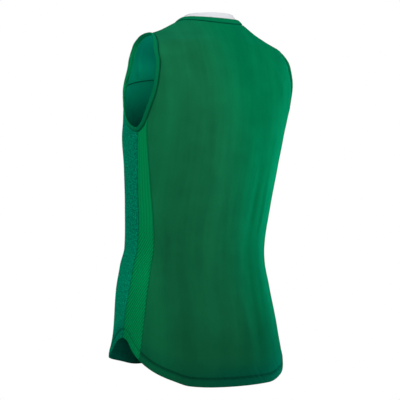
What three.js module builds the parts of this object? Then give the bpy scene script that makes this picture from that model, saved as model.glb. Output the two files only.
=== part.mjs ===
// Sleeveless sports shirt, filled out as worn. Millimetres, +Z up.
// The front faces -Y and the wearer's left is +X. The origin lies midway between
// the two points where the shoulder seams meet the neck seam.
// Every panel lies on one body form: a stack of rounded rings, one at each height.
// On a ring, angle 0 is the wearer's left, 90 the back, 180 the right and 270 the front.
import * as THREE from 'three';

// ---------- driving sizes ----------

const WALL = 1.2;                 // knit cloth
const HEM_WALL = 2.0;             // cloth turned up and stitched at the hem
const HEM_TURN = 16;              // depth of the turn-up
const SEAM_GAP = 0.3;             // clear distance between sewn pieces

const YOKE_MIDDLE = -93;          // height of the seam across the upper front
const YOKE_DIP = 21;              // how much lower it meets the armholes
const NECK_HALF = 63;             // half width of the neck seam
const FRONT_NECK_DROP = 66;       // front neck seam below the shoulder points
const BACK_NECK_DROP = 7.5;

const BINDING_WIDTH = 7.5;
const BINDING_WALL = 2.2;
const BAND_WIDTH = 10;            // green neckband
const BAND_WALL = 1.8;
const INSERT_WALL = 1.6;          // white band inside the neckband
const INSERT_START = 5;           // its lower edge, up the neckband

// Neckband at the front, sides and back (minus one, zero and one behind): degrees it
// leans in from upright, and how far the white band stands above it.
const NECK_STANDS = [
  { behind: -1, lean: 36, insert: 12 },
  { behind: 0, lean: 50, insert: 13 },
  { behind: 0.6, lean: 44, insert: 14 },
  { behind: 1, lean: 27, insert: 14 },
];

// Degrees that the armhole binding stands out from the cloth, low and high on it.
const BINDING_STANDS = [
  { z: -135, flare: 10 },
  { z: -85, flare: 28 },
  { z: -40, flare: 45 },
];

const ACROSS = 30;                // steps across the front and the back
const SIDE_ACROSS = 4;            // steps across a side panel
const ARMHOLE_STEPS = 2;          // steps from one armhole row to the next

// Body form: height, half width in front and behind, y of the side line, of the back
// and of the front, and the exponent of the ring (2 is an ellipse, more is squarer).
const BODY_RINGS = [
  { z: 12, halfFront: 50, halfBack: 50, side: -8, back: 37, front: -54, power: 2.0 },
  { z: 0, halfFront: 63, halfBack: 63, side: -7, back: 45, front: -58, power: 1.95 },
  { z: -8, halfFront: 79, halfBack: 77, side: -6, back: 52, front: -62, power: 1.8 },
  { z: -20, halfFront: 104, halfBack: 98, side: -5, back: 61, front: -68, power: 1.72 },
  { z: -30, halfFront: 131, halfBack: 116, side: -4, back: 68, front: -74, power: 1.82 },
  { z: -48, halfFront: 147, halfBack: 139, side: -3, back: 79, front: -84, power: 2.35 },
  { z: -76, halfFront: 159, halfBack: 158, side: -3, back: 88, front: -97, power: 2.35 },
  { z: -112, halfFront: 156, halfBack: 163, side: -8, back: 95, front: -120, power: 2.45 },
  { z: -150, halfFront: 152, halfBack: 163, side: -15, back: 98, front: -137, power: 2.3 },
  { z: -175, halfFront: 152, halfBack: 160, side: -20, back: 99, front: -142, power: 2.2 },
  { z: -205, halfFront: 154.5, halfBack: 155.5, side: -24, back: 98, front: -144, power: 2.1 },
  { z: -260, halfFront: 149, halfBack: 149, side: -31, back: 88, front: -143, power: 2.05 },
  { z: -330, halfFront: 143, halfBack: 143, side: -40, back: 68, front: -143, power: 2.05 },
  { z: -405, halfFront: 139, halfBack: 139, side: -50, back: 50, front: -147, power: 2.05 },
  { z: -440, halfFront: 144, halfBack: 144, side: -57, back: 49, front: -159, power: 2.05 },
  { z: -480, halfFront: 152, halfBack: 152, side: -56, back: 55, front: -162, power: 2.05 },
  { z: -560, halfFront: 162, halfBack: 162, side: -48, back: 75, front: -163, power: 2.05 },
  { z: -620, halfFront: 173, halfBack: 173, side: -47, back: 80, front: -171, power: 2.05 },
  { z: -660, halfFront: 176, halfBack: 176, side: -47, back: 80, front: -174, power: 2.05 },
];
const SIDE_BLEND = 0.35;          // sine of the angle over which front and back widths blend

// Left armhole seam, from the shoulder back and round under the arm: degrees behind
// the side, height, and the seam that meets it there.
const ARMHOLE = [
  { angle: 0, z: -29, meets: 'shoulder' },
  { angle: 7, z: -32 },
  { angle: 14, z: -39.5 },
  { angle: 23.3, z: -55 },
  { angle: 30.5, z: -79 },
  { angle: 31, z: -108 },
  { angle: 27.5, z: -143 },
  { angle: 20, z: -179, meets: 'back seam' },
  { angle: 16, z: -192 },
  { angle: 9.5, z: -201, meets: 'front seam' },
  { angle: 1, z: -197 },
  { angle: -11, z: -181 },
  { angle: -24.5, z: -151 },
  { angle: -37.5, z: -114, meets: 'yoke' },
  { angle: -41, z: -80 },
  { angle: -36, z: -54 },
  { angle: -27, z: -39 },
  { angle: -13, z: -31 },
];

// Shoulder seam: heights of its points between the neck and the armhole.
const SHOULDER_HEIGHTS = [0, -7, -14, -21];

// Seams of the side panel, in degrees behind the side, at each height.
const SIDE_SEAMS = [
  { z: -179, back: 20, front: 9.5 },
  { z: -201, back: 19, front: 9.5 },
  { z: -240, back: 20, front: 8.3 },
  { z: -303, back: 23.3, front: 8.8 },
  { z: -350, back: 26.8, front: 10.5 },
  { z: -400, back: 29, front: 10.5 },
  { z: -450, back: 29.3, front: 10 },
  { z: -500, back: 27.6, front: 8.5 },
  { z: -535, back: 26, front: 5.5 },
  { z: -570, back: 24.2, front: 4 },
  { z: -600, back: 24, front: 4 },
];
const NOTCH_ANGLE = 4;            // the front seam ends at the top of the side notch
const BACK_SEAM_FOOT = 24;        // degrees behind the side, where the back seam ends

// Share of the way down the side seams at each row of points.
const SEAM_SHARES = [0.06, 0.13, 0.21, 0.3, 0.39, 0.48, 0.57, 0.66, 0.75, 0.84, 0.92];

// Hem line: height at each angle round the body.
const HEM = [
  { angle: 4, z: -562 },
  { angle: 9, z: -565 },
  { angle: 17, z: -584 },
  { angle: 27, z: -603 },
  { angle: 38, z: -619 },
  { angle: 50, z: -632 },
  { angle: 60, z: -641 },
  { angle: 75, z: -645 },
  { angle: 95, z: -647 },
  { angle: 117, z: -648 },
  { angle: 135, z: -640 },
  { angle: 145, z: -632 },
  { angle: 155, z: -615 },
  { angle: 163, z: -593 },
  { angle: 170, z: -572 },
  { angle: 176, z: -562 },
  { angle: 182, z: -566 },
  { angle: 194, z: -587 },
  { angle: 208, z: -604 },
  { angle: 234, z: -621 },
  { angle: 252, z: -630 },
  { angle: 270, z: -633 },
  { angle: 288, z: -631 },
  { angle: 306, z: -620 },
  { angle: 334, z: -602 },
  { angle: 346, z: -588 },
  { angle: 357, z: -567 },
];

// Soft folds: angle and height where each starts and ends, half width in degrees,
// and depth, plus for a ridge and minus for a trough.
const FOLDS = [
  { from: 62, top: -150, to: 70, foot: -520, spread: 7, depth: 1.4 },
  { from: 76, top: -90, to: 84, foot: -600, spread: 6, depth: -1.4 },
  { from: 93, top: -70, to: 98, foot: -560, spread: 7, depth: 1.3 },
  { from: 108, top: -130, to: 110, foot: -640, spread: 6, depth: -1.5 },
  { from: 124, top: -170, to: 128, foot: -600, spread: 6, depth: 1.5 },
  { from: 139, top: -210, to: 141, foot: -520, spread: 5, depth: -1.4 },
  { from: 46, top: -300, to: 52, foot: -640, spread: 6, depth: -1.4 },
  { from: 232, top: -230, to: 228, foot: -620, spread: 8, depth: 3.4 },
  { from: 250, top: -210, to: 249, foot: -630, spread: 6, depth: -2.8 },
  { from: 272, top: -260, to: 275, foot: -640, spread: 8, depth: 2.4 },
  { from: 294, top: -200, to: 297, foot: -620, spread: 6, depth: -3.0 },
  { from: 318, top: -240, to: 322, foot: -620, spread: 8, depth: 3.2 },
];

// ---------- curves through the tables ----------

const radians = (degrees) => degrees * Math.PI / 180;
const mix = (a, b, share) => a + (b - a) * share;
const clamp01 = (value) => Math.min(1, Math.max(0, value));
const smooth = (value) => clamp01(value) ** 2 * (3 - 2 * clamp01(value));

// Value of one column at a place along the table's key column, on a smooth curve
// that never overshoots a row.
function along(table, key, column, place) {
  const rows = table[0][key] < table[table.length - 1][key] ? table : [...table].reverse();
  const last = rows.length - 1;
  if (place <= rows[0][key]) return rows[0][column];
  if (place >= rows[last][key]) return rows[last][column];
  const right = rows.findIndex((row) => row[key] > place);
  const slope = (i) => (rows[i + 1][column] - rows[i][column]) / (rows[i + 1][key] - rows[i][key]);
  const tangent = (i) => {
    if (i === 0) return slope(0);
    if (i === last) return slope(last - 1);
    const before = slope(i - 1);
    const after = slope(i);
    return before * after <= 0 ? 0 : 2 * before * after / (before + after);
  };
  const left = right - 1;
  const step = rows[right][key] - rows[left][key];
  const s = (place - rows[left][key]) / step;
  const rise = rows[right][column] - rows[left][column];
  const bend = tangent(left) * step * s * (1 - s) ** 2 - tangent(right) * step * s ** 2 * (1 - s);
  return rows[left][column] + rise * s * s * (3 - 2 * s) + bend;
}

const HEM_RING = [
  ...HEM.map((row) => ({ angle: row.angle - 360, z: row.z })),
  ...HEM,
  ...HEM.map((row) => ({ angle: row.angle + 360, z: row.z })),
];
const hemHeight = (angle) => along(HEM_RING, 'angle', 'z', angle);

// How far the folds lift the cloth at a place on the body form.
function foldLift(angle, z) {
  const around = ((angle % 360) + 360) % 360;
  return FOLDS.reduce((lift, fold) => {
    const down = (fold.top - z) / (fold.top - fold.foot);
    if (down <= 0) return lift;
    const centre = mix(fold.from, fold.to, down);
    const across = (around - centre) / fold.spread;
    const ends = smooth(down / 0.3) * smooth((1.15 - down) / 0.4);
    return lift + fold.depth * Math.exp(-across * across) * ends;
  }, 0);
}

function ringPoint(angle, z) {
  const ring = (column) => along(BODY_RINGS, 'z', column, z);
  const power = 2 / ring('power');
  const c = Math.cos(radians(angle));
  const s = Math.sin(radians(angle));
  const side = ring('side');
  const depth = s > 0 ? ring('back') - side : side - ring('front');
  const behind = smooth(0.5 + s / (2 * SIDE_BLEND));
  const half = mix(ring('halfFront'), ring('halfBack'), behind);
  const x = half * Math.sign(c) * Math.abs(c) ** power;
  const y = side + depth * Math.sign(s) * Math.abs(s) ** power;
  return new THREE.Vector3(x, y, z);
}

function outward(angle, z) {
  const round = ringPoint(angle + 1.5, z).sub(ringPoint(angle - 1.5, z));
  const up = ringPoint(angle, z + 3).sub(ringPoint(angle, z - 3));
  return round.cross(up).normalize();
}

// A point on the worn cloth, with its folds.
function bodyPoint(angle, z) {
  return ringPoint(angle, z).addScaledVector(outward(angle, z), foldLift(angle, z));
}

// ---------- closed solids from rows of points ----------

function meshGeometry(points, faces) {
  const geometry = new THREE.BufferGeometry();
  const corners = points.flatMap((point) => [point.x, point.y, point.z]);
  geometry.setAttribute('position', new THREE.Float32BufferAttribute(corners, 3));
  geometry.setIndex(faces);
  geometry.computeVertexNormals();
  return geometry;
}

// A wall between two matching grids of points, closed round its edge. Rows run down
// and columns run clockwise, seen from above.
function wallGeometry(outer, inner) {
  const rows = outer.length;
  const columns = outer[0].length;
  const points = [...outer.flat(), ...inner.flat()];
  const outside = (row, column) => row * columns + column;
  const inside = (row, column) => rows * columns + outside(row, column);
  const faces = [];
  const quad = (a, b, c, d) => faces.push(a, b, c, a, c, d);
  for (let row = 0; row < rows - 1; row += 1) {
    for (let column = 0; column < columns - 1; column += 1) {
      const near = [row, column];
      const next = [row, column + 1];
      const belowNext = [row + 1, column + 1];
      const below = [row + 1, column];
      quad(outside(...near), outside(...next), outside(...belowNext), outside(...below));
      quad(inside(...near), inside(...below), inside(...belowNext), inside(...next));
    }
  }
  const rim = [];
  for (let column = 0; column < columns - 1; column += 1) rim.push([0, column]);
  for (let row = 0; row < rows - 1; row += 1) rim.push([row, columns - 1]);
  for (let column = columns - 1; column > 0; column -= 1) rim.push([rows - 1, column]);
  for (let row = rows - 1; row > 0; row -= 1) rim.push([row, 0]);
  rim.forEach((here, i) => {
    const after = rim[(i + 1) % rim.length];
    quad(outside(...after), outside(...here), inside(...here), inside(...after));
  });
  return meshGeometry(points, faces);
}

// A ring of equal sections, each a closed outline of points.
function ringGeometry(sections) {
  const size = sections[0].length;
  const faces = [];
  sections.forEach((section, i) => {
    const next = ((i + 1) % sections.length) * size;
    for (let corner = 0; corner < size; corner += 1) {
      const after = (corner + 1) % size;
      const [a, b, c, d] = [i * size + corner, next + corner, next + after, i * size + after];
      faces.push(a, b, c, a, c, d);
    }
  });
  return meshGeometry(sections.flat(), faces);
}

// ---------- seams, as places on the body form ----------

const place = (angle, z) => ({ angle, z });
const frontOf = (angle) => -180 - angle;      // the same place on the other side, round the front
const backOf = (angle) => 180 - angle;        // the same place on the other side, round the back

// The armhole seam as a smooth closed loop through its rows.
const armholeCurve = new THREE.CatmullRomCurve3(
  ARMHOLE.map((row) => new THREE.Vector3(row.angle, row.z, 0)), true, 'catmullrom', 0.5);

function armholePlaces() {
  const count = ARMHOLE.length * ARMHOLE_STEPS;
  return Array.from({ length: count }, (_, i) => {
    const point = armholeCurve.getPoint(i / count);
    return place(point.x, point.y);
  });
}

// The stretch of the armhole seam from one meeting seam to another.
function armholeStretch(from, to) {
  const loop = armholePlaces();
  const at = (seam) => ARMHOLE.findIndex((row) => row.meets === seam) * ARMHOLE_STEPS;
  const end = at(to) || loop.length;
  const stretch = loop.slice(at(from), end + 1);
  return end === loop.length ? [...stretch, loop[0]] : stretch;
}

const shoulderSeam = SHOULDER_HEIGHTS.map((z) => place(0, z));

// A side seam from the armhole to the hem. The far side's hem has its own height.
function sideSeam(column, top, footAngle, otherSide) {
  const foot = place(footAngle, hemHeight(otherSide ? backOf(footAngle) : footAngle));
  const turn = (foot.z + HEM_TURN - top.z) / (foot.z - top.z);
  const shares = [...SEAM_SHARES.filter((share) => share < turn - 0.02), turn - 0.004, turn, 1];
  return shares.map((share) => {
    const z = mix(top.z, foot.z, share);
    const reach = smooth((share - 0.75) / 0.25);
    return place(mix(along(SIDE_SEAMS, 'z', column, z), footAngle, reach), z);
  });
}

function backSeam(otherSide) {
  const top = ARMHOLE.find((row) => row.meets === 'back seam');
  return sideSeam('back', top, BACK_SEAM_FOOT, otherSide);
}

function frontSeam(otherSide) {
  const top = ARMHOLE.find((row) => row.meets === 'front seam');
  return sideSeam('front', top, NOTCH_ANGLE, otherSide);
}

// The neck seam, round from above, shallow at the back and a scoop at the front. Its
// place is where the body form has the seam's height and distance from the middle.
function neckPlace(turn) {
  const depth = Math.sin(radians(turn));
  const z = -(depth > 0 ? BACK_NECK_DROP : FRONT_NECK_DROP) * depth ** 2;
  const reach = NECK_HALF * Math.abs(Math.cos(radians(turn)));
  const way = depth > 0 ? 1 : -1;
  let low = 0;
  let high = 90;
  for (let step = 0; step < 30; step += 1) {
    const angle = (low + high) / 2;
    if (ringPoint(way * angle, z).x > reach) low = angle;
    else high = angle;
  }
  const right = Math.cos(radians(turn)) < 0;
  const angle = way * (low + high) / 2;
  return place(right ? way * 180 - angle : angle, z);
}

const hemPlace = (angle) => place(angle, hemHeight(angle));

// Places between two ends of an edge, in equal steps of angle.
function edgeRow(from, to, steps, placeAt) {
  return Array.from({ length: steps + 1 }, (_, i) => placeAt(mix(from, to, i / steps), i / steps));
}

// ---------- panels ----------

// Places inside four edges. Left and right run down, top and bottom run across, and
// each inner place blends all four.
function fillEdges(left, right, top, bottom) {
  const last = left.length - 1;
  const columns = top.length - 1;
  const downShare = (edge, row) => (edge[row].z - edge[0].z) / (edge[last].z - edge[0].z);
  return left.map((_, row) => top.map((__, column) => {
    const s = column / columns;
    const v = mix(downShare(left, row), downShare(right, row), s);
    const blend = (key) => {
      const across = mix(left[row][key], right[row][key], s);
      const down = mix(top[column][key], bottom[column][key], v);
      const corners = mix(mix(top[0][key], top[columns][key], s),
        mix(bottom[0][key], bottom[columns][key], s), v);
      return across + down - corners;
    };
    return place(blend('angle'), blend('z'));
  }));
}

function clothNormal({ angle, z }) {
  const round = bodyPoint(angle + 0.8, z).sub(bodyPoint(angle - 0.8, z));
  const up = bodyPoint(angle, z + 2).sub(bodyPoint(angle, z - 2));
  return round.cross(up).normalize();
}

// Draws each edge of a panel back by half the seam gap, square to the edge.
function openSeams(points) {
  const rows = points.length;
  const columns = points[0].length;
  const moved = points.map((row) => row.map((point) => point.clone()));
  const draw = (row, column, before, after, within) => {
    const edge = points[after[0]][after[1]].clone().sub(points[before[0]][before[1]]).normalize();
    const inward = points[within[0]][within[1]].clone().sub(points[row][column]);
    inward.addScaledVector(edge, -inward.dot(edge)).normalize();
    moved[row][column].addScaledVector(inward, SEAM_GAP / 2);
  };
  for (let row = 0; row < rows; row += 1) {
    const before = Math.max(row - 1, 0);
    const after = Math.min(row + 1, rows - 1);
    draw(row, 0, [before, 0], [after, 0], [row, 1]);
    draw(row, columns - 1, [before, columns - 1], [after, columns - 1], [row, columns - 2]);
  }
  for (let column = 0; column < columns; column += 1) {
    const before = Math.max(column - 1, 0);
    const after = Math.min(column + 1, columns - 1);
    draw(0, column, [0, before], [0, after], [1, column]);
    draw(rows - 1, column, [rows - 1, before], [rows - 1, after], [rows - 2, column]);
  }
  return moved;
}

// A cloth panel from its places. The last two rows are the turned-up hem.
function panel(shape, hemmed) {
  const falling = shape[1][0].angle > shape[1][shape[1].length - 1].angle;
  const places = falling ? shape : shape.map((row) => [...row].reverse());
  const middle = openSeams(places.map((row) => row.map(({ angle, z }) => bodyPoint(angle, z))));
  const turned = places.length - 2;
  const shift = (side) => middle.map((row, i) => row.map((point, j) => {
    const wall = hemmed && i >= turned ? HEM_WALL : WALL;
    return point.clone().addScaledVector(clothNormal(places[i][j]), side * wall / 2);
  }));
  return wallGeometry(shift(1), shift(-1));
}

function backPanel() {
  const armhole = armholeStretch('shoulder', 'back seam');
  const left = [...shoulderSeam, ...armhole, ...backSeam(false)];
  const right = [...shoulderSeam, ...armhole, ...backSeam(true)]
    .map(({ angle, z }) => place(backOf(angle), z));
  const foot = BACK_SEAM_FOOT;
  const top = edgeRow(0, 180, ACROSS, neckPlace);
  const bottom = edgeRow(foot, backOf(foot), ACROSS, hemPlace);
  return panel(fillEdges(left, right, top, bottom), true);
}

// The seam between the yoke and the front panel, curving down to the armholes.
function yokeSeam() {
  const corner = ARMHOLE.find((row) => row.meets === 'yoke').angle;
  return edgeRow(corner, frontOf(corner), ACROSS, (angle, s) => (
    place(angle, YOKE_MIDDLE - YOKE_DIP * Math.abs(2 * s - 1) ** 1.6)));
}

const mirroredFront = (edge) => edge.map(({ angle, z }) => place(frontOf(angle), z));

function frontYoke() {
  const left = [...shoulderSeam, ...armholeStretch('yoke', 'shoulder').reverse()];
  const top = edgeRow(0, -180, ACROSS, neckPlace);
  return panel(fillEdges(left, mirroredFront(left), top, yokeSeam()), false);
}

function frontPanel() {
  const armhole = armholeStretch('front seam', 'yoke').reverse();
  const left = [...armhole, ...frontSeam(false)];
  const right = mirroredFront([...armhole, ...frontSeam(true)]);
  const bottom = edgeRow(NOTCH_ANGLE, frontOf(NOTCH_ANGLE), ACROSS, hemPlace);
  return panel(fillEdges(left, right, yokeSeam(), bottom), true);
}

// Between the two side seams, under the arm.
function sidePanel(otherSide) {
  const top = armholeStretch('back seam', 'front seam').reverse();
  const start = top[0];
  const end = top[top.length - 1];
  const front = [start, ...frontSeam(otherSide)];
  const back = [end, ...backSeam(otherSide)];
  const bottom = edgeRow(NOTCH_ANGLE, BACK_SEAM_FOOT, SIDE_ACROSS, (angle) => (
    place(angle, hemHeight(otherSide ? backOf(angle) : angle))));
  const places = fillEdges(front, back, top, bottom);
  if (!otherSide) return panel(places, true);
  return panel(places.map((row) => row.map(({ angle, z }) => place(backOf(angle), z))), true);
}

// ---------- bands ----------

// A band's outline: across its width from the seam, and out from its middle layer.
function bandOutline(width, wall, start = 0) {
  const end = start + width;
  const middle = start + width / 2;
  return [
    { across: start, out: wall * 0.3 },
    { across: middle, out: wall * 0.5 },
    { across: end, out: wall * 0.3 },
    { across: end, out: -wall * 0.3 },
    { across: middle, out: -wall * 0.5 },
    { across: start, out: -wall * 0.3 },
  ];
}

function bandSection(foot, acrossWay, outWay, outline) {
  return outline.map(({ across, out }) => (
    foot.clone().addScaledVector(acrossWay, across).addScaledVector(outWay, out)));
}

// Rib binding that stands in from the panels' edge and a little out from the cloth.
function armholeBinding(otherSide) {
  const loop = armholePlaces().map(({ angle, z }) => place(otherSide ? backOf(angle) : angle, z));
  const seam = loop.map(({ angle, z }) => bodyPoint(angle, z));
  const middle = seam.reduce((sum, point) => sum.add(point), new THREE.Vector3())
    .divideScalar(seam.length);
  const outline = bandOutline(BINDING_WIDTH, BINDING_WALL, SEAM_GAP / 2);
  const sections = seam.map((foot, i) => {
    const before = seam[(i + seam.length - 1) % seam.length];
    const after = seam[(i + 1) % seam.length];
    const alongSeam = after.clone().sub(before).normalize();
    const out = clothNormal(loop[i]);
    const inward = alongSeam.clone().cross(out).normalize();
    if (inward.dot(middle.clone().sub(foot)) < 0) inward.negate();
    const flare = radians(along(BINDING_STANDS, 'z', 'flare', loop[i].z));
    const reach = inward.clone().multiplyScalar(Math.cos(flare)).addScaledVector(out, Math.sin(flare));
    const face = out.multiplyScalar(Math.cos(flare)).addScaledVector(inward, -Math.sin(flare));
    const clear = BINDING_WALL * 0.3 * Math.sin(flare);
    return bandSection(foot.clone().addScaledVector(inward, clear), reach, face, outline);
  });
  return ringGeometry(otherSide ? sections : sections.reverse());
}

// A band round the neck, at a distance in from the neckband's middle layer. The
// outline is worked out from how far the white band stands up there.
function neckRing(outlineFor, inset) {
  const places = [...edgeRow(0, 180, ACROSS, neckPlace),
    ...edgeRow(-180, 0, ACROSS, neckPlace).slice(1, -1)];
  const up = new THREE.Vector3(0, 0, 1);
  const seam = places.map(({ angle, z }) => bodyPoint(angle, z));
  const sections = seam.map((foot, i) => {
    const before = seam[(i + seam.length - 1) % seam.length];
    const after = seam[(i + 1) % seam.length];
    const out = after.clone().sub(before).cross(up).setZ(0).normalize();
    const behind = Math.sin(2 * Math.PI * i / seam.length);
    const lean = radians(along(NECK_STANDS, 'behind', 'lean', behind));
    const rise = up.clone().multiplyScalar(Math.cos(lean)).addScaledVector(out, -Math.sin(lean));
    const face = out.clone().multiplyScalar(Math.cos(lean)).addScaledVector(up, Math.sin(lean));
    return bandSection(foot.clone().addScaledVector(face, -inset), rise, face, outlineFor(behind));
  });
  return ringGeometry(sections);
}

function neckband() {
  const outline = bandOutline(BAND_WIDTH, BAND_WALL, SEAM_GAP + WALL / 2);
  return neckRing(() => outline, 0);
}

function neckInsert() {
  const inset = BAND_WALL / 2 + 2 * SEAM_GAP + INSERT_WALL / 2;
  return neckRing((behind) => {
    const stand = along(NECK_STANDS, 'behind', 'insert', behind);
    return bandOutline(BAND_WIDTH + stand - INSERT_START, INSERT_WALL, INSERT_START);
  }, inset);
}

// ---------- the shirt ----------

const smoothKnit = { color: 0x05704a, roughness: 0.72, metalness: 0 };
const texturedKnit = { color: 0x02694d, roughness: 0.85, metalness: 0 };
const ribbedMesh = { color: 0x057a45, roughness: 0.8, metalness: 0 };
const greenRib = { color: 0x067048, roughness: 0.75, metalness: 0 };
const whiteRib = { color: 0xe8e9ee, roughness: 0.8, metalness: 0 };

function piece(name, geometry, finish) {
  const mesh = new THREE.Mesh(geometry, new THREE.MeshStandardMaterial(finish));
  mesh.name = name;
  return mesh;
}

const group = new THREE.Group();
group.add(
  piece('back_panel', backPanel(), smoothKnit),
  piece('front_yoke', frontYoke(), smoothKnit),
  piece('front_panel', frontPanel(), texturedKnit),
  piece('side_panel_left', sidePanel(false), ribbedMesh),
  piece('side_panel_right', sidePanel(true), ribbedMesh),
  piece('armhole_binding_left', armholeBinding(false), greenRib),
  piece('armhole_binding_right', armholeBinding(true), greenRib),
  piece('neckband', neckband(), greenRib),
  piece('neck_insert', neckInsert(), whiteRib),
);

export default group;
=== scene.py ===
# Sleeveless sports shirt, filled out as worn and open at its neck, armholes and hem.
# Metres, +Z up. The front faces -Y and the wearer's left is +X. Tables are in millimetres.
import math

import bpy
import numpy as np
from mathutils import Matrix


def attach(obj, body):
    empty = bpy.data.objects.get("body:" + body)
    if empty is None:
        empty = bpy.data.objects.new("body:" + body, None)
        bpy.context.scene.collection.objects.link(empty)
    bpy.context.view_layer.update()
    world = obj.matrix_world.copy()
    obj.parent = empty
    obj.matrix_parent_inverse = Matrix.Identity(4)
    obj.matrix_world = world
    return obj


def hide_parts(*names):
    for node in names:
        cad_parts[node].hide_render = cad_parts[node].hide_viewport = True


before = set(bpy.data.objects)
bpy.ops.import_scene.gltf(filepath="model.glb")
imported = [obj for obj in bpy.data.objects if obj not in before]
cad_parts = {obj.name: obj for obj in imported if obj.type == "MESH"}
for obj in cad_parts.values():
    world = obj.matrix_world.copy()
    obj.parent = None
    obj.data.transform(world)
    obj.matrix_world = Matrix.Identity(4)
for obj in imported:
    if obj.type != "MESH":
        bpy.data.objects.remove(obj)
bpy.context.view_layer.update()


# ---- Camera ----
# It is level with the middle of the shirt and looks at the back from over the
# wearer's left side, 35 degrees round from straight behind.
CAMERA_DISTANCE = 2.1
CAMERA_TURN = math.radians(145)
CAMERA_AIM = math.radians(0.54)
CAMERA_HEIGHT = -0.32
CAMERA_LENS = 104.4

bpy.ops.object.camera_add(
    location=(CAMERA_DISTANCE * math.sin(CAMERA_TURN),
              -CAMERA_DISTANCE * math.cos(CAMERA_TURN), CAMERA_HEIGHT),
    rotation=(math.radians(90), 0, CAMERA_TURN + CAMERA_AIM))
camera = bpy.context.object
camera.data.lens = CAMERA_LENS
camera.data.sensor_width = 36
bpy.context.scene.camera = camera


# ---- Back panel ----
# The back is one piece of fine smooth polyester knit, from the neck and shoulder
# seams to a deep curved hem. The turned-up hem is held by a twin-needle stitch. All
# the panels lie on one body form, so its rings and seams are set out here.
MM = 0.001
WALL = 1.2
HEM_WALL = 2.0
HEM_TURN = 16                  # depth of the turned-up hem
SEAM_GAP = 0.3
SIDE_BLEND = 0.35              # sine of the angle over which front and back widths blend
MM_PER_DEGREE = 2.7            # round the body, for the sizes of folds

# Height, half width in front and behind, y of the side line, of the back and of the
# front, and the exponent of the ring (2 is an ellipse, more is squarer).
BODY_RINGS = (
    (12, 50, 50, -8, 37, -54, 2.0),
    (0, 63, 63, -7, 45, -58, 1.95),
    (-8, 79, 77, -6, 52, -62, 1.8),
    (-20, 104, 98, -5, 61, -68, 1.72),
    (-30, 131, 116, -4, 68, -74, 1.82),
    (-48, 147, 139, -3, 79, -84, 2.35),
    (-76, 159, 158, -3, 88, -97, 2.35),
    (-112, 156, 163, -8, 95, -120, 2.45),
    (-150, 152, 163, -15, 98, -137, 2.3),
    (-175, 152, 160, -20, 99, -142, 2.2),
    (-205, 154.5, 155.5, -24, 98, -144, 2.1),
    (-260, 149, 149, -31, 88, -143, 2.05),
    (-330, 143, 143, -40, 68, -143, 2.05),
    (-405, 139, 139, -50, 50, -147, 2.05),
    (-440, 144, 144, -57, 49, -159, 2.05),
    (-480, 152, 152, -56, 55, -162, 2.05),
    (-560, 162, 162, -48, 75, -163, 2.05),
    (-620, 173, 173, -47, 80, -171, 2.05),
    (-660, 176, 176, -47, 80, -174, 2.05),
)

# Left armhole seam from the shoulder back and round under the arm, degrees behind the
# side and height. Rows 0, 7, 9 and 13 meet the shoulder, back, front and yoke seams.
ARMHOLE = (
    (0, -29), (7, -32), (14, -39.5), (23.3, -55), (30.5, -79), (31, -108), (27.5, -143),
    (20, -179), (16, -192), (9.5, -201), (1, -197), (-11, -181), (-24.5, -151),
    (-37.5, -114), (-41, -80), (-36, -54), (-27, -39), (-13, -31),
)
SHOULDER, BACK_MEETS, FRONT_MEETS, YOKE_MEETS = 0, 7, 9, 13
ARMHOLE_STEPS = 12             # points from one row to the next

# Height, and degrees behind the side of the side panel's back and front seams.
SIDE_SEAMS = (
    (-179, 20, 9.5), (-201, 19, 9.5), (-240, 20, 8.3), (-303, 23.3, 8.8),
    (-350, 26.8, 10.5), (-400, 29, 10.5), (-450, 29.3, 10), (-500, 27.6, 8.5),
    (-535, 26, 5.5), (-570, 24.2, 4), (-600, 24, 4),
)
NOTCH_ANGLE = 4                # the front seam ends at the top of the side notch
BACK_SEAM_FOOT = 24

# Hem line, angle round the body from the wearer's left by way of the back, and height.
HEM = (
    (4, -562), (9, -565), (17, -584), (27, -603), (38, -619), (50, -632), (60, -641),
    (75, -645), (95, -647), (117, -648), (135, -640), (145, -632), (155, -615),
    (163, -593), (170, -572), (176, -562), (182, -566), (194, -587), (208, -604),
    (234, -621), (252, -630), (270, -633), (288, -631), (306, -620), (334, -602),
    (346, -588), (357, -567),
)

# Broad folds: angle and height of the top and of the foot, half width in degrees, and
# depth, plus for a ridge and minus for a trough.
FOLDS = (
    (62, -150, 70, -520, 7, 1.4), (76, -90, 84, -600, 6, -1.4),
    (93, -70, 98, -560, 7, 1.3), (108, -130, 110, -640, 6, -1.5),
    (124, -170, 128, -600, 6, 1.5), (139, -210, 141, -520, 5, -1.4),
    (46, -300, 52, -640, 6, -1.4), (232, -230, 228, -620, 8, 3.4),
    (250, -210, 249, -630, 6, -2.8), (272, -260, 275, -640, 8, 2.4),
    (294, -200, 297, -620, 6, -3.0), (318, -240, 322, -620, 8, 3.2),
)

# Neck seam, round from above.
NECK_HALF = 63
BACK_NECK_DROP = 7.5
FRONT_NECK_DROP = 66


def smooth(value):
    value = np.clip(value, 0, 1)
    return value * value * (3 - 2 * value)


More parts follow.
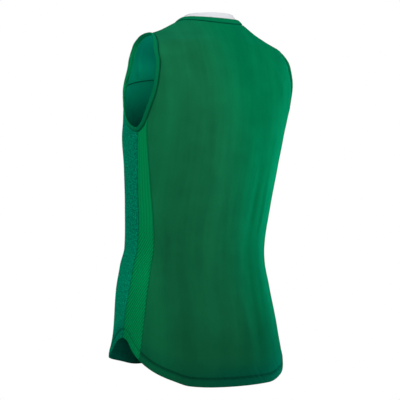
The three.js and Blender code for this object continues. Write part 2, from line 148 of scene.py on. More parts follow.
def curve_through(keys, values):
    """A smooth curve through the rows of a table that never overshoots one."""
    keys, values = np.array(keys, float), np.array(values, float)
    if keys[0] > keys[-1]:
        keys, values = keys[::-1], values[::-1]
    step, slope = np.diff(keys), np.diff(values) / np.diff(keys)
    same_way = slope[:-1] * slope[1:] > 0
    both = np.where(same_way, slope[:-1] + slope[1:], 1)
    inner = np.where(same_way, 2 * slope[:-1] * slope[1:] / both, 0)
    tangent = np.concatenate(([slope[0]], inner, [slope[-1]]))

    def value_at(place):
        place = np.clip(place, keys[0], keys[-1])
        i = np.clip(np.searchsorted(keys, place, side="right") - 1, 0, len(step) - 1)
        s = (place - keys[i]) / step[i]
        rise = (values[i + 1] - values[i]) * s * s * (3 - 2 * s)
        bend = tangent[i] * s * (1 - s) ** 2 - tangent[i + 1] * s * s * (1 - s)
        return values[i] + rise + bend * step[i]

    return value_at


def curves_of(rows):
    """One curve for each column of a table after its first."""
    key, *columns = zip(*rows)
    return [curve_through(key, column) for column in columns]


ring_curves = curves_of(BODY_RINGS)
back_seam_angle, front_seam_angle = curves_of(SIDE_SEAMS)
hem_height, = curves_of([(angle + turn, z) for turn in (-360, 0, 360) for angle, z in HEM])


def ring_point(angle, z):
    """A point on the body form."""
    half_front, half_back, side, back, front, power = (value(z) for value in ring_curves)
    c, s = np.cos(np.radians(angle)), np.sin(np.radians(angle))
    behind = smooth(0.5 + s / (2 * SIDE_BLEND))
    half = half_front + (half_back - half_front) * behind
    depth = np.where(s > 0, back - side, side - front)
    x = half * np.sign(c) * np.abs(c) ** (2 / power)
    y = side + depth * np.sign(s) * np.abs(s) ** (2 / power)
    return np.stack((x, y, z + 0 * x), -1)


def unit(vectors):
    return vectors / np.maximum(np.linalg.norm(vectors, axis=-1, keepdims=True), 1e-9)


def out_from(point_at, angle, z, turn=1.5, drop=3.0):
    """The way out of a surface at a place on it."""
    around = point_at(angle + turn, z) - point_at(angle - turn, z)
    up = point_at(angle, z + drop) - point_at(angle, z - drop)
    return unit(np.cross(around, up))


def cloth_out_at(angle, z):
    """The way out of the worn cloth, close enough to follow its folds."""
    return out_from(body_point, angle, z, 0.8, 2.0)


def fold_lift(angle, z):
    around, lift = np.mod(angle, 360), 0
    for top_angle, top, foot_angle, foot, spread, depth in FOLDS:
        down = (top - z) / (top - foot)
        across = (around - top_angle - (foot_angle - top_angle) * down) / spread
        ends = smooth(down / 0.3) * smooth((1.15 - down) / 0.4)
        lift = lift + depth * np.exp(-across ** 2) * ends
    return lift


def body_point(angle, z):
    """A point on the worn cloth, with its broad folds."""
    out = out_from(ring_point, angle, z)
    return ring_point(angle, z) + out * fold_lift(angle, z)[..., None]


def closed_curve(rows, steps):
    """A smooth closed line through rows of places."""
    here = np.array(rows, float)[:, None]
    before, after, beyond = (np.roll(here, shift, axis=0) for shift in (1, -1, -2))
    t = (np.arange(steps) / steps)[None, :, None]
    line = (here * (2 * t ** 3 - 3 * t ** 2 + 1) + after * (3 * t ** 2 - 2 * t ** 3)
            + (after - before) / 2 * (t ** 3 - 2 * t ** 2 + t)
            + (beyond - here) / 2 * (t ** 3 - t ** 2))
    return line.reshape(-1, 2)


armhole_line = closed_curve(ARMHOLE, ARMHOLE_STEPS)
armhole_line = np.vstack((armhole_line, armhole_line[:1]))


def armhole_stretch(from_row, to_row):
    """The armhole seam between two of its rows."""
    to_row = to_row or len(ARMHOLE)
    return armhole_line[from_row * ARMHOLE_STEPS:to_row * ARMHOLE_STEPS + 1]


def places(angle, z):
    return np.stack(np.broadcast_arrays(angle, z), -1).astype(float)


def round_back(line):
    """The same places on the other side, round the back."""
    return places(180 - line[:, 0], line[:, 1])


def round_front(line):
    return places(-180 - line[:, 0], line[:, 1])


def side_seam(angle_at, meets, foot_angle, far_side):
    """A side seam from the armhole down to the hem."""
    top = ARMHOLE[meets][1]
    foot = hem_height(180 - foot_angle if far_side else foot_angle)
    share = np.linspace(0, 1, 80)
    z = top + (foot - top) * share
    reach = smooth((share - 0.75) / 0.25)
    return places(angle_at(z) * (1 - reach) + foot_angle * reach, z)


def back_seam(far_side):
    """Where a side panel joins the back."""
    return side_seam(back_seam_angle, BACK_MEETS, BACK_SEAM_FOOT, far_side)


def front_seam(far_side):
    """Where a side panel joins the front."""
    return side_seam(front_seam_angle, FRONT_MEETS, NOTCH_ANGLE, far_side)


def neck_line(turns):
    """The neck seam at turns round it, in degrees from the wearer's left."""
    depth = np.sin(np.radians(turns))
    z = -np.where(depth > 0, BACK_NECK_DROP, FRONT_NECK_DROP) * depth ** 2
    reach = NECK_HALF * np.abs(np.cos(np.radians(turns)))
    way = np.where(depth > 0, 1, -1)
    low, high = np.zeros(len(z)), np.full(len(z), 90.0)
    for _ in range(30):
        middle = (low + high) / 2
        wide = ring_point(way * middle, z)[:, 0] > reach
        low, high = np.where(wide, middle, low), np.where(wide, high, middle)
    right = np.cos(np.radians(turns)) < 0
    return places(np.where(right, way * 180 - way * low, way * low), z)


def hem_line(from_angle, to_angle):
    angles = np.linspace(from_angle, to_angle, 160)
    return places(angles, hem_height(angles))


shoulder_seam = places(0, np.linspace(0, ARMHOLE[SHOULDER][1], 24))


def lengths_along(points, axis):
    """Distance along each line of points from its first, in the points' units."""
    steps = np.linalg.norm(np.diff(points, axis=axis), axis=-1)
    start = np.zeros_like(np.take(steps, [0], axis=axis))
    return np.concatenate((start, np.cumsum(steps, axis=axis)), axis=axis)


def points_at(wanted, lengths, points):
    """Where a line of points is at the wanted lengths along it."""
    return np.stack([np.interp(wanted, lengths, points[:, i]) for i in range(3)], -1)


def along_edge(edge, share):
    """Places at shares of an edge's own length."""
    length = lengths_along(body_point(edge[:, 0], edge[:, 1]), 0)
    at = share * length[-1]
    return places(np.interp(at, length, edge[:, 0]), np.interp(at, length, edge[:, 1]))


def uneven(length, spacing, start=0.0):
    """A ripple from -1 to 1 whose waves differ in width and height."""
    turn = 2 * np.pi * length / spacing + start
    slow = np.sin(turn * 0.31 + 1.3 * start) + 0.6 * np.sin(turn * 0.173 + 2.1)
    return np.sin(turn + 1.4 * slow) * (0.6 + 0.25 * slow)


def crease_lift(angle, z, creases):
    """Smaller folds. A row is the angle and height of each end, how far the middle bows
    aside, half width and depth, plus for a ridge and minus for a trough."""
    lift = np.zeros_like(z)
    for from_angle, top, to_angle, foot, bow, half_width, depth in creases:
        run = np.array([(to_angle - from_angle) * MM_PER_DEGREE, foot - top])
        size = np.hypot(*run)
        ahead = run / size
        near = np.stack(((angle - from_angle) * MM_PER_DEGREE, z - top), -1)
        down = near @ ahead / size
        aside = near @ np.array([-ahead[1], ahead[0]]) - bow * np.sin(np.pi * np.clip(down, 0, 1))
        ends = smooth(down / 0.35) * smooth((1 - down) / 0.45)
        beside = np.exp(-((np.abs(aside) - 1.9 * half_width) / half_width) ** 2)
        lift += depth * ends * (np.exp(-(aside / half_width) ** 2) - 0.28 * beside)
    return lift


def flat_grid(name, columns, rows):
    """A grid of cloth, and each point's share of the way across and down."""
    bpy.ops.object.select_all(action="DESELECT")
    bpy.ops.mesh.primitive_grid_add(x_subdivisions=columns, y_subdivisions=rows, size=1)
    cloth = bpy.context.object
    cloth.name = cloth.data.name = name
    flat = np.empty(len(cloth.data.vertices) * 3)
    cloth.data.vertices.foreach_get("co", flat)
    flat = flat.reshape(-1, 3)
    count = len(np.unique(flat[:, 0].round(6)))
    order = np.lexsort((flat[:, 0].round(6), -flat[:, 1].round(6)))
    share = flat[order].reshape(-1, count, 3)
    return cloth, order, share[..., 0] + 0.5, 0.5 - share[..., 1]


def lay(cloth, order, points, across, down):
    """Moves a grid's points to their places, and gives it the cloth's own lengths as UVs."""
    moved = np.empty((len(order), 3))
    moved[order] = points.reshape(-1, 3) * MM
    cloth.data.vertices.foreach_set("co", moved.ravel())
    place = np.empty((len(order), 2))
    place[order] = np.stack((across, down), -1).reshape(-1, 2) * MM
    corner = np.empty(len(cloth.data.loops), int)
    cloth.data.loops.foreach_get("vertex_index", corner)
    cloth.data.uv_layers[0].name = "cloth"
    cloth.data.uv_layers["cloth"].data.foreach_set("uv", place[corner].ravel())
    cloth.data.update()


def give(cloth, order, name, values):
    """Stores one number for each point, for the finish to read."""
    stored = np.empty(len(order))
    stored[order] = np.ravel(values)
    cloth.data.attributes.new(name, "FLOAT", "POINT").data.foreach_set("value", stored)


def thicken(cloth, wall, thin=1.0, group=None):
    """Gives a sheet its wall, half to each side, and smooths its shading."""
    bpy.ops.object.select_all(action="DESELECT")
    cloth.select_set(True)
    bpy.context.view_layer.objects.active = cloth
    shell = cloth.modifiers.new("wall", "SOLIDIFY")
    shell.thickness = wall * MM
    shell.offset = 0
    if group:
        shell.vertex_group = group
        shell.thickness_vertex_group = thin
    bpy.ops.object.modifier_apply(modifier=shell.name)
    bpy.ops.object.shade_smooth_by_angle(angle=math.radians(50))


laid = {}                      # each panel's points, ways out and heights above its hem
EDGE_CELLS = 4                 # fine cells along each seam
EDGE_REACH = 3.2               # how far they reach in from it
SEAM_GROOVE, SEAM_GROOVE_REACH = 0.6, 1.3
SEAM_PUCKER, SEAM_PUCKER_PITCH, SEAM_PUCKER_REACH = 0.32, 11, 7
HEM_GROOVE, HEM_GROOVE_REACH = 0.55, 2.4
HEM_SWELL = 0.35               # how far the turned-up hem stands out below its stitching
HEM_PULL, HEM_PULL_PITCH, HEM_PULL_REACH = 0.5, 13, 11
CREASE_TO_SEAM = 14            # creases fade over this much of the cloth beside a seam
CREASE_TO_HEM = 40


def toward_edges(share, cells, length):
    """Crowds the outermost cells of a grid against its edges."""
    near = EDGE_CELLS / cells
    return np.interp(share, (0, near, 1 - near, 1),
                     (0, EDGE_REACH / length, 1 - EDGE_REACH / length, 1))


def cloth_panel(name, left, right, top, bottom, columns, rows, creases=(), hemmed=True,
                even=0.0):
    """A panel inside four seams. Left and right run down, top and bottom run across.
    Even is how far its rows leave the sides' heights to lie evenly."""
    cloth, order, s, v = flat_grid(name, columns, rows)
    s = toward_edges(s, columns, lengths_along(body_point(*bottom.T), 0)[-1])
    v = toward_edges(v, rows, lengths_along(body_point(*left.T), 0)[-1])
    left, right = along_edge(left, v[:, 0]), along_edge(right, v[:, 0])
    top, bottom = along_edge(top, s[0]), along_edge(bottom, s[0])
    share = [((edge[:, 1] - edge[0, 1]) / (edge[-1, 1] - edge[0, 1]))[:, None]
             for edge in (left, right)]
    drop = (share[0] + (share[1] - share[0]) * s)[..., None]
    s = s[..., None]
    spot = (left[:, None] * (1 - s) + right[:, None] * s + top * (1 - drop) + bottom * drop
            - (top[0] * (1 - s) + top[-1] * s) * (1 - drop)
            - (bottom[0] * (1 - s) + bottom[-1] * s) * drop)
    level = (left[-1, 1] - left[0, 1]) * v + left[0, 1] - left[:, 1:]
    angle, z = spot[..., 0], spot[..., 1] + even * level * np.sin(np.pi * s[..., 0])
    base = body_point(angle, z)
    across, down = lengths_along(base, 1), lengths_along(base, 0)
    to_seam = np.minimum(np.minimum(across, across[:, -1:] - across), down)
    to_hem = down[-1:] - down if hemmed else np.full_like(down, 1e3)
    if not hemmed:
        to_seam = np.minimum(to_seam, down[-1:] - down)
    lift = crease_lift(np.mod(angle, 360), z, creases)
    lift *= smooth(to_seam / CREASE_TO_SEAM) * smooth((to_hem - 4) / CREASE_TO_HEM)
    lift -= SEAM_GROOVE * np.exp(-(to_seam / SEAM_GROOVE_REACH) ** 2)
    pucker = np.exp(-to_seam / SEAM_PUCKER_REACH) * smooth(to_seam / 3)
    lift += SEAM_PUCKER * uneven(across + down, SEAM_PUCKER_PITCH) * pucker
    lift -= HEM_GROOVE * np.exp(-((to_hem - HEM_TURN + 1.5) / HEM_GROOVE_REACH) ** 2)
    lift += HEM_SWELL * smooth((HEM_TURN - to_hem) / 4) * smooth(to_hem / 4)
    pull = np.exp(-np.abs(to_hem - HEM_TURN) / HEM_PULL_REACH)
    lift += HEM_PULL * pull * uneven(across - 0.7 * down, HEM_PULL_PITCH, 1.0)
    out = cloth_out_at(angle, z)
    points = base + out * lift[..., None]
    points[:, 0] += unit(points[:, 1] - points[:, 0]) * SEAM_GAP / 2
    points[:, -1] += unit(points[:, -2] - points[:, -1]) * SEAM_GAP / 2
    points[0] += unit(points[1] - points[0]) * SEAM_GAP / 2
    if not hemmed:
        points[-1] += unit(points[-2] - points[-1]) * SEAM_GAP / 2
    laid[name] = points, out, to_hem
    middle = across[:, across.shape[1] // 2, None]
    lay(cloth, order, points, across - middle, down)
    give(cloth, order, "to_seam", to_seam * MM)
    give(cloth, order, "to_hem", np.minimum(to_hem, 300) * MM)
    if hemmed:
        group = cloth.vertex_groups.new(name="hem")
        weight = np.empty(len(order))
        weight[order] = smooth((HEM_TURN + 1 - to_hem) / 2).ravel()
        for amount in np.unique(weight.round(2)):
            group.add([int(i) for i in np.flatnonzero(weight.round(2) == amount)],
                      float(amount), "REPLACE")
        thicken(cloth, HEM_WALL, WALL / HEM_WALL, "hem")
    else:
        thicken(cloth, WALL)
    return cloth


THREAD = 0.22                  # half thickness of the thread


def thread(name, runs, closed=False):
    """Sewing thread along runs of points."""
    curve = bpy.data.curves.new(name, "CURVE")
    curve.dimensions = "3D"
    curve.bevel_depth, curve.bevel_resolution = THREAD * MM, 0
    curve.use_fill_caps = not closed
    for run in runs:
        spline = curve.splines.new("POLY")
        spline.points.add(len(run) - 1)
        spline.points.foreach_set("co", np.column_stack((run * MM, np.ones(len(run)))).ravel())
        spline.use_cyclic_u = closed
    sewn = bpy.data.objects.new(name, curve)
    bpy.context.collection.objects.link(sewn)
    bpy.ops.object.select_all(action="DESELECT")
    sewn.select_set(True)
    bpy.context.view_layer.objects.active = sewn
    bpy.ops.object.convert(target="MESH")
    return bpy.context.object


STITCH = 3.0                   # length of a stitch
STITCH_ROWS = (11.8, 14.8)     # heights of the twin-needle rows above the hem
STITCH_ALONG = np.array([0.05, 0.18, 0.82, 0.95])      # where a stitch bends, in its length
STITCH_STANDS = np.array([-0.1, 0.2, 0.2, -0.1])       # and how far off the cloth it is there


def hem_stitching(name, panel):
    """The two rows of stitches that hold a panel's turned-up hem."""
    points, out, to_hem = laid[panel]
    face = points + out * HEM_WALL / 2
    runs = []
    for height in STITCH_ROWS:
        row, way = (np.array([[np.interp(height, to_hem[::-1, i], grid[::-1, i, axis])
                               for axis in range(3)] for i in range(points.shape[1])])
                    for grid in (face, out))
        length = lengths_along(row, 0)
        for start in np.arange(2, length[-1] - 2 - STITCH, STITCH):
            at = start + STITCH * STITCH_ALONG
            place, off = points_at(at, length, row), points_at(at, length, way)
            runs.append(place + off * STITCH_STANDS[:, None])
    return thread(name, runs)


ALLOWANCE_WALL = 0.7
ALLOWANCE = 2.6                # from the seam to each side


def depth_inside(from_seam):
    """How far in a strip lies that is laid over a seam on the inside."""
    return 1.1 + 0.75 * np.exp(-(from_seam / 1.5) ** 2)


def seam_allowance(edge, half_width=ALLOWANCE):
    """The overlocked edges of two panels, laid flat inside their seam."""
    cloth, order, s, t = flat_grid("overlocked_edge", 140, 6)
    line = along_edge(edge, s[0])
    seam, out = body_point(*line.T), cloth_out_at(*line.T)
    aside = np.cross(out, unit(np.gradient(seam, axis=0)))
    reach = ((t - 0.5) * 2 * half_width)[..., None]
    points = seam + aside * reach - out * depth_inside(reach)
    lay(cloth, order, points, lengths_along(points, 1), lengths_along(points, 0))
    give(cloth, order, "to_seam", 0.01)
    thicken(cloth, ALLOWANCE_WALL)
    return cloth


def joined(name, pieces):
    """One piece made of several like ones."""
    bpy.ops.object.select_all(action="DESELECT")
    for piece in pieces:
        piece.select_set(True)
    bpy.context.view_layer.objects.active = pieces[0]
    bpy.ops.object.join()
    whole = bpy.context.object
    whole.name = whole.data.name = name
    return whole


class Value:
    """A value in a finish. Sums and products of values add their nodes."""

    def __init__(self, finish, socket):
        self.finish, self.socket = finish, socket

    def out(self, name):
        return Value(self.finish, self.socket.node.outputs[name])

    def math(self, operation, *terms):
        return self.finish.node("ShaderNodeMath", {"operation": operation},
                                dict(enumerate(terms)))

    def __add__(self, other):
        return self.math("ADD", self, other)

    def __radd__(self, other):
        return self.math("ADD", other, self)

    def __sub__(self, other):
        return self.math("SUBTRACT", self, other)

    def __rsub__(self, other):
        return self.math("SUBTRACT", other, self)

    def __mul__(self, other):
        return self.math("MULTIPLY", self, other)

    def __rmul__(self, other):
        return self.math("MULTIPLY", other, self)

    def wave(self, pitch):
        """A wave from -1 to 1 along this length, one for each pitch."""
        return self.math("SINE", self * (2 * math.pi / pitch))

    def size(self):
        return self.math("ABSOLUTE", self)

    def between(self, low, high):
        """Zero up to low and one from high on."""
        return self.finish.node("ShaderNodeMapRange", {"interpolation_type": "SMOOTHSTEP"},
                                {"Value": self, "From Min": low, "From Max": high})


class Finish:
    """A material and its nodes. The studio's air is made the same way."""

    def __init__(self, name, kind="materials"):
        self.material = getattr(bpy.data, kind).new(name)
        self.material.use_nodes = True
        self.nodes = self.material.node_tree.nodes
        self.nodes.clear()

    def node(self, kind, settings=None, sockets=None, output=0):
        """Adds a node. Its settings come first, then its sockets' values or links."""
        made = self.nodes.new(kind)
        for name, value in (settings or {}).items():
            setattr(made, name, value)
        for name, value in (sockets or {}).items():
            if isinstance(value, Value):
                self.material.node_tree.links.new(value.socket, made.inputs[name])
            else:
                made.inputs[name].default_value = value
        return Value(self, made.outputs[output]) if made.outputs else None

    def parts(self, place):
        """How far left of the middle, how far back and how high a place is."""
        split = self.node("ShaderNodeSeparateXYZ", {}, {0: place})
        return split.out("X"), split.out("Y"), split.out("Z")

    def lengths(self):
        """How far across and down the cloth a point lies, in metres."""
        return self.parts(self.node("ShaderNodeUVMap", {"uv_map": "cloth"}))[:2]

    def point(self):
        return self.node("ShaderNodeTexCoord", output=3)

    def stored(self, name):
        return self.node("ShaderNodeAttribute", {"attribute_name": name}).out("Fac")

    def by_seam(self, near, far):
        """One at a seam and zero away from it."""
        return 1 - self.stored("to_seam").between(near, far)

    def by_hem(self, near, far):
        return 1 - self.stored("to_hem").between(near, far)

    def by_stitching(self, near, far):
        """One along the stitching of the turned-up hem."""
        return 1 - (self.stored("to_hem") - (HEM_TURN - 1) * MM).size().between(near, far)

    def vector(self, x, y, z=0.0):
        return self.node("ShaderNodeCombineXYZ", {}, {0: x, 1: y, 2: z})

    def noise(self, place, scale, detail=2.0, roughness=0.5):
        return self.node("ShaderNodeTexNoise", {},
                         {"Vector": place, "Scale": scale, "Detail": detail,
                          "Roughness": roughness})

    def mix(self, share, first, second):
        """A colour between two colours."""
        return self.node("ShaderNodeMix", {"data_type": "RGBA"},
                         {0: share, 6: first, 7: second}, output=2)

    def cloth(self, colour, roughness, height, depth, sheen, sheen_tint):
        """The surface itself: height is the relief of the yarn, depth its size in metres."""
        bump = self.node("ShaderNodeBump", {}, {"Height": height, "Distance": depth,
                                                "Strength": 1.0})
        surface = self.node("ShaderNodeBsdfPrincipled", {}, {
            "Base Color": colour, "Roughness": roughness, "Normal": bump,
            "Specular IOR Level": 0.0, "Sheen Weight": sheen, "Sheen Roughness": 0.5,
            "Sheen Tint": sheen_tint})
        self.node("ShaderNodeOutputMaterial", {}, {"Surface": surface})
        return self.material


def dyed(red, green, blue):
    """A colour from its red, green and blue shares of 255."""
    shares = (value / 255 for value in (red, green, blue))
    return (*((share / 12.92 if share < 0.04045 else ((share + 0.055) / 1.055) ** 2.4)
              for share in shares), 1)


def wear(piece, finish):
    piece.data.materials.clear()
    piece.data.materials.append(finish)


HOLLOW_MIDDLE = -0.04          # y of the middle of the hollow


def line_with(piece, finish):
    """Gives the faces that look inwards their own finish."""
    piece.data.materials.append(finish)
    for face in piece.data.polygons:
        from_middle = face.center.y - HOLLOW_MIDDLE
        inward = face.normal.x * face.center.x + face.normal.y * from_middle < 0
        face.material_index = int(inward)


TEAL_SHEEN = (0.0, 0.5, 0.33, 1)
# Colour of the lines along seams and the hem's stitching: partly the dark thread and joint,
# partly painted shadow in their grooves.
SEAM_THREAD_AND_SHADOW = dyed(2, 45, 33)
WALE = 0.0011                  # width of a column of stitches
COURSE = 0.0009                # height of a row of stitches

smooth_knit = Finish("smooth_green_knit")
across, down = smooth_knit.lengths()
place = smooth_knit.point()
side_way, _, height = smooth_knit.parts(place)
streaks = smooth_knit.noise(smooth_knit.vector(across, down * 0.06), 45, 3, 0.6)
clouds = smooth_knit.noise(place, 17, 4, 0.6)
grain = smooth_knit.noise(smooth_knit.vector(across, down * 0.7), 1400, 2)
shade = clouds.between(0.25, 0.75) * 0.35 + streaks.between(0.3, 0.7) * 0.28 + grain * 0.37
# The left of the back is tinted olive by painted warm light; the rest keeps the cooler green.
cool = smooth_knit.mix(shade, dyed(1, 104, 64), dyed(4, 133, 84))
painted_warm_light = smooth_knit.mix(shade, dyed(19, 102, 64), dyed(28, 129, 82))
colour = smooth_knit.mix((side_way - height * 0.18).between(0.0, 0.115), cool, painted_warm_light)
# Painted shade darkens it towards the hem, in a band down the left of the back and on
# the left shoulder, and a painted highlight brightens it beside the left side panel.
low = 1 - height.between(-0.50, -0.27)
lowest_painted_shade = (1 - height.between(-0.60, -0.48)) * (1 - side_way.between(-0.11, 0.05) * 0.6)
hollow_painted_shade = side_way.between(0.03, 0.075) * (1 - side_way.between(0.09, 0.125))
hollow_painted_shade = hollow_painted_shade * (height.between(-0.44, -0.34) * 0.07 + 0.01)
corner = side_way.between(0.09, 0.115) * height.between(-0.07, -0.035)
colour = smooth_knit.mix(low * 0.27 + lowest_painted_shade * 0.33 + hollow_painted_shade + corner * 0.22, colour,
                         dyed(4, 24, 17))
beside = side_way.between(0.10, 0.13) * (1 - height.between(-0.20, -0.09))
colour = smooth_knit.mix(beside * 0.13, colour, dyed(20, 170, 104))
# Painted shade darkens the turned-up hem, less on the left.
hem = smooth_knit.by_hem(0.012, 0.055)
hem = hem * (0.8 - side_way.between(0.0, 0.10) * 0.4)
colour = smooth_knit.mix(hem, colour, dyed(1, 76, 57))
row = smooth_knit.by_stitching(0.0008, 0.0034)
seam = smooth_knit.by_seam(0.0004, 0.0022)
colour = smooth_knit.mix(seam * 0.4 + row * 0.6, colour, SEAM_THREAD_AND_SHADOW)
stitches = across.wave(WALE) * (down.wave(COURSE) * 0.35 + 0.65)
smooth_knit_material = smooth_knit.cloth(
    colour, 0.62 + grain * 0.2, stitches * 0.5 + grain, 0.00012, 0.35, TEAL_SHEEN)

sewing = Finish("green_thread")
place = sewing.point()
twist = sewing.noise(place, 2500, 2)
sewing_material = sewing.cloth(sewing.mix(twist, dyed(1, 58, 44), dyed(6, 96, 66)),
                               0.5 + twist * 0.2, twist, 0.0001, 0.2, TEAL_SHEEN)

# Angle and height of each end, bow, half width and depth.
BACK_CREASES = (
    (45, -60, 66, -150, 8, 9, -1.2),
    (58, -40, 74, -120, -5, 8, 1.3),
    (64, -170, 66, -330, 4, 6, -0.5),
    (71, -140, 73, -330, -3, 6, 0.5),
    (78, -190, 80, -360, 3, 6, -0.5),
    (86, -250, 89, -420, -4, 6, 1.2),
    (104, -60, 128, -150, 10, 9, 1.2),
    (112, -240, 112, -400, -5, 7, -0.6),
    (121, -250, 123, -430, 5, 6, 0.8),
    (34, -330, 42, -520, 6, 8, -1.4),
    (58, -400, 66, -560, 8, 11, 1.3),
    (80, -430, 74, -600, -8, 11, 1.1),
    (98, -440, 108, -590, 6, 12, -1.1),
)
back_armhole = armhole_stretch(SHOULDER, BACK_MEETS)
back_left = np.vstack((shoulder_seam, back_armhole[1:], back_seam(False)[1:]))
back_right = round_back(np.vstack((shoulder_seam, back_armhole[1:], back_seam(True)[1:])))
back = cloth_panel("smooth_back", back_left, back_right, neck_line(np.linspace(0, 180, 90)),
                   hem_line(BACK_SEAM_FOOT, 180 - BACK_SEAM_FOOT),
                   columns=190, rows=240, creases=BACK_CREASES)
wear(back, smooth_knit_material)
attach(back, "root")
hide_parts("back_panel")

back_hem = hem_stitching("back_hem_stitching", "smooth_back")
back_edges = joined("back_overlocked_edges", [
    seam_allowance(edge) for edge in (
        shoulder_seam, round_back(shoulder_seam), back_seam(False),
        round_back(back_seam(True)))])
wear(back_hem, sewing_material)
wear(back_edges, sewing_material)
for piece in (back_hem, back_edges):
    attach(piece, "root")


# ---- Side panels ----
# Under each arm a narrow panel of ribbed mesh runs from the armhole to the hem, for
# air. It is overlocked to the back and to the front.
RIB = 0.0058                   # from one rib to the next
LINE = 0.0084                  # from one slanting line of the lower part to the next
ribbed_mesh = Finish("ribbed_green_mesh")
across, down = ribbed_mesh.lengths()
side_way, _, height = ribbed_mesh.parts(ribbed_mesh.point())
grain = ribbed_mesh.noise(ribbed_mesh.vector(across, down), 900, 2)
toward_front = across * side_way.math("SIGN", side_way)
rib = across.wave(RIB) * 0.5 + 0.5
beads = (down + toward_front).wave(0.0030) * 0.2 + 0.8
slant = ((down - toward_front * 1.05).wave(LINE) * 0.5 + 0.5) * beads
lower = 1 - height.between(-0.40, -0.35)
lines = ribbed_mesh.node("ShaderNodeMix", {}, {0: lower, 2: rib * 0.35 + 0.3, 3: slant})
colour = ribbed_mesh.mix(lines * 0.75 + grain * 0.3, dyed(1, 108, 62), dyed(6, 184, 106))
# Painted shade darkens the mesh towards the bottom.
low = 1 - height.between(-0.56, -0.42)
colour = ribbed_mesh.mix(low * 0.12, colour, dyed(2, 30, 22))
# Painted shade darkens a band beside each seam and the turned-up hem.
beside = ribbed_mesh.by_seam(0.0, 0.007)
seam = ribbed_mesh.by_seam(0.0004, 0.002)
hem = ribbed_mesh.by_hem(0.012, 0.03)
row = ribbed_mesh.by_stitching(0.0006, 0.0030)
colour = ribbed_mesh.mix(hem * 0.12, colour, dyed(1, 76, 54))
colour = ribbed_mesh.mix(beside * 0.18 + seam * 0.2 + row * 0.3, colour, SEAM_THREAD_AND_SHADOW)
ribbed_mesh_material = ribbed_mesh.cloth(
    colour, 0.65 + grain * 0.15, lines + grain * 0.4, 0.0004, 0.3, TEAL_SHEEN)


def side_panel(name, far_side):
    top = armhole_stretch(BACK_MEETS, FRONT_MEETS)[::-1]
    front, behind = front_seam(far_side), back_seam(far_side)
    if not far_side:
        return cloth_panel(name, behind, front, top[::-1],
                           hem_line(BACK_SEAM_FOOT, NOTCH_ANGLE), columns=36, rows=190)
    return cloth_panel(name, round_back(front), round_back(behind), round_back(top),
                       hem_line(180 - NOTCH_ANGLE, 180 - BACK_SEAM_FOOT), columns=36, rows=190)


for side, far_side in (("left", False), ("right", True)):
    panel = side_panel(f"ribbed_side_{side}", far_side)
    wear(panel, ribbed_mesh_material)
    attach(panel, "root")
    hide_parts(f"side_panel_{side}")


# ---- Front panel ----
# The front below the yoke is a textured knit, embossed all over with small blunt
# marks, in a slightly bluer green. It ends in its own curved, twin-stitched hem.
textured_knit = Finish("textured_green_knit")
across, down = textured_knit.lengths()
height = textured_knit.parts(textured_knit.point())[2]
grain = textured_knit.noise(textured_knit.vector(across, down), 700, 2)
marks = textured_knit.noise(textured_knit.vector(across * 1.2, down * 1.7), 260, 2, 0.6)
mark = marks.between(0.44, 0.58)
pits = textured_knit.noise(textured_knit.vector(across, down * 1.3), 210, 1).between(0.50, 0.62)
colour = textured_knit.mix(mark * 0.65 + grain * 0.35, dyed(1, 108, 84), dyed(3, 184, 137))
colour = textured_knit.mix(pits * 0.45, colour, dyed(1, 84, 62))
# Painted light brightens the front towards the bottom.
low = 1 - height.between(-0.44, -0.34)
colour = textured_knit.mix(low * 0.10, colour, dyed(3, 210, 152))
# Painted shade darkens the turned-up hem.
hem = textured_knit.by_hem(0.012, 0.045)
colour = textured_knit.mix(hem * 0.35, colour, dyed(1, 70, 54))
row = textured_knit.by_stitching(0.0006, 0.0030)
seam = textured_knit.by_seam(0.0004, 0.002)
colour = textured_knit.mix(seam * 0.3 + row * 0.4, colour, SEAM_THREAD_AND_SHADOW)
textured_knit_material = textured_knit.cloth(
    colour, 0.7 + grain * 0.15, mark + grain * 0.4, 0.0005, 0.25, TEAL_SHEEN)

knit_reverse = Finish("green_knit_reverse")
across, down = knit_reverse.lengths()
side_way, _, height = knit_reverse.parts(knit_reverse.point())
grain = knit_reverse.noise(knit_reverse.vector(across, down), 700, 2)
loops = across.wave(WALE) * down.wave(COURSE) * 0.5 + 0.5
colour = knit_reverse.mix(loops * 0.4 + grain * 0.4, dyed(1, 110, 88), dyed(3, 143, 113))
# Painted light brightens the reverse in a band across the yoke, and painted shade
# deepens it low down and in the middle.
painted_light_band = height.between(-0.19, -0.12) * (1 - height.between(-0.09, -0.05))
colour = knit_reverse.mix(painted_light_band * 0.36, colour, dyed(4, 200, 150))
low = 1 - height.between(-0.27, -0.10)
middle = 1 - side_way.size().between(0.04, 0.11)
colour = knit_reverse.mix(low * 0.82 + middle * 0.22, colour, dyed(1, 36, 28))
seam = knit_reverse.by_seam(0.0004, 0.002)
colour = knit_reverse.mix(seam * 0.4, colour, SEAM_THREAD_AND_SHADOW)
knit_reverse_material = knit_reverse.cloth(
    colour, 0.75 + grain * 0.15, loops + grain * 0.4, 0.0002, 0.2, TEAL_SHEEN)

FRONT_CREASES = (
    (300, -150, 318, -260, 8, 8, 1.4),
    (240, -150, 222, -260, -8, 8, 1.4),
    (258, -160, 262, -330, 5, 8, -1.5),
    (282, -160, 279, -320, -5, 8, 1.5),
    (326, -300, 334, -470, 6, 7, -1.5),
    (214, -300, 206, -470, -6, 7, -1.5),
    (262, -420, 256, -590, -7, 10, 1.8),
    (290, -410, 296, -600, 7, 10, -1.8),
    (344, -380, 350, -540, -4, 6, 1.2),
    (196, -380, 190, -540, 4, 6, 1.2),
)
front_armhole = armhole_stretch(FRONT_MEETS, YOKE_MEETS)[::-1]
front_left = np.vstack((front_armhole, front_seam(False)[1:]))
front_right = round_front(np.vstack((front_armhole, front_seam(True)[1:])))

